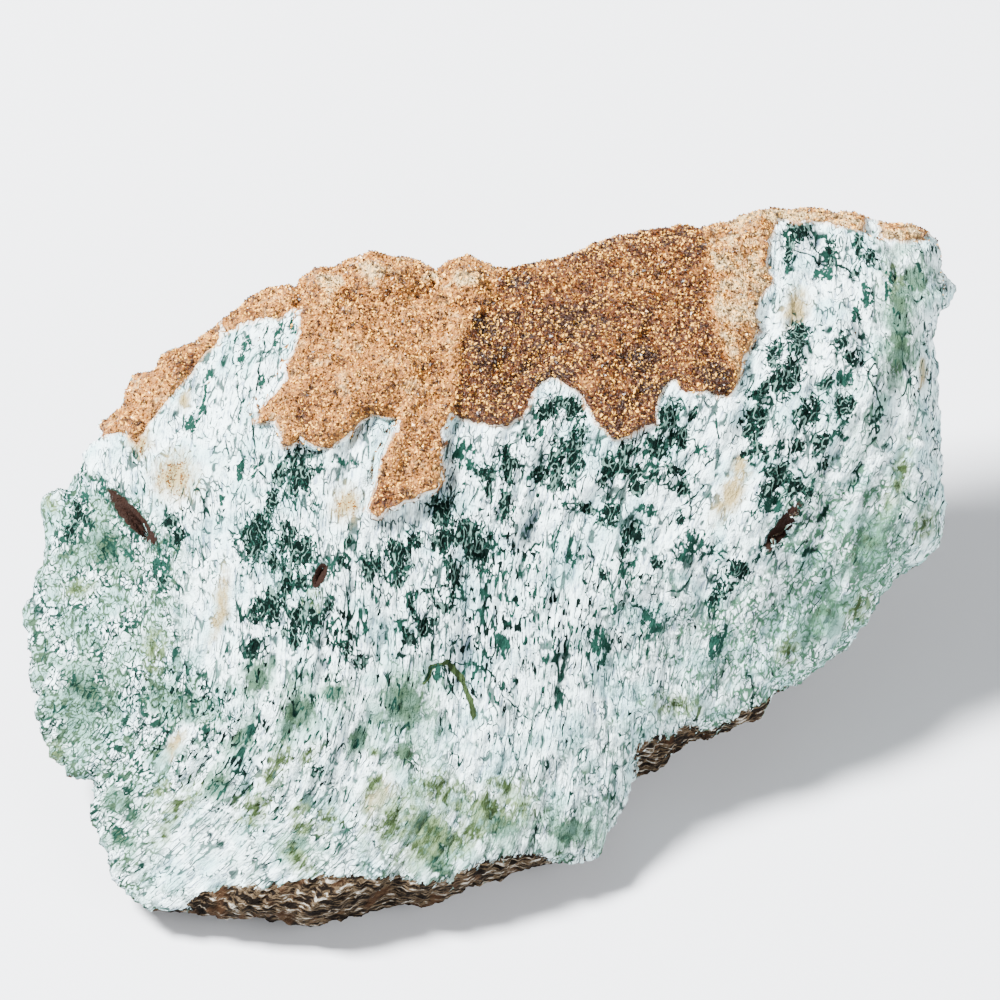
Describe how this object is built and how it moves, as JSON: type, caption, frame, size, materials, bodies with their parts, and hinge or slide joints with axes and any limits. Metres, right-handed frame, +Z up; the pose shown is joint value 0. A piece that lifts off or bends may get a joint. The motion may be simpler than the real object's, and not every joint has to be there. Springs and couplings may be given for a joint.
{
  "type": "raw tree agate",
  "caption": "Hand-sized piece of rough white stone with moss-green veining, a raised brown druzy crust on top and a small flat foot.",
  "frame": {"origin": "middle of the stone's outline, at the height of the surface that it rests on", "axes": "+X along the stone's longest side, +Z up, and the broken white and green face slopes down towards -Y"},
  "size_m": [0.1403, 0.0997, 0.0601],
  "materials": {
    "agate": "matte"
  },
  "bodies": {
    "root": {"tree_agate": "agate"}
  },
  "joints": []
}
